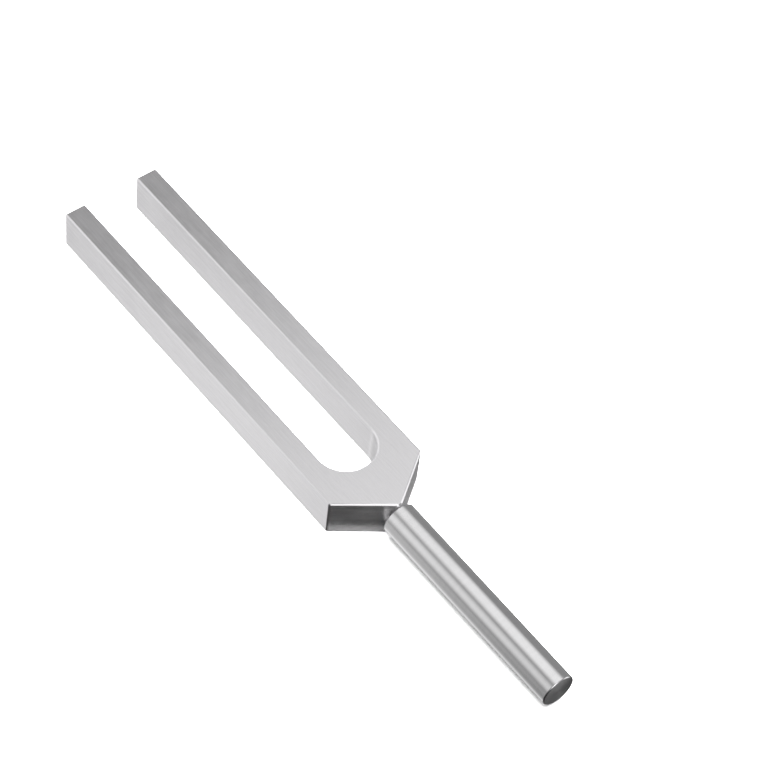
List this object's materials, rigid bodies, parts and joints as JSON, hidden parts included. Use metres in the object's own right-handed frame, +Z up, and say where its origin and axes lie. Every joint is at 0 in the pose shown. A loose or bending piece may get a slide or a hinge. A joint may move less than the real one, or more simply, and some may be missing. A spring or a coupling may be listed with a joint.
{
  "type": "tuning fork",
  "caption": "Tuning fork with square-edged tines, sloping shoulders and a round stem screwed to its nose.",
  "frame": {"origin": "below the middle of the fork's length and width, on the surface it lies on", "axes": "+Y along the fork from the stem's foot towards the tips of the tines, +X across the tines, +Z up out of the flat face"},
  "size_m": [0.025, 0.16, 0.01],
  "materials": {
    "satin_aluminium": "fine lengthwise brushing, satin",
    "polished_aluminium": "turned and polished",
    "blackened_steel": "black oxide"
  },
  "bodies": {
    "root": {"fork_body": "satin_aluminium", "stem": "polished_aluminium", "joining_screw": "blackened_steel"}
  },
  "joints": []
}
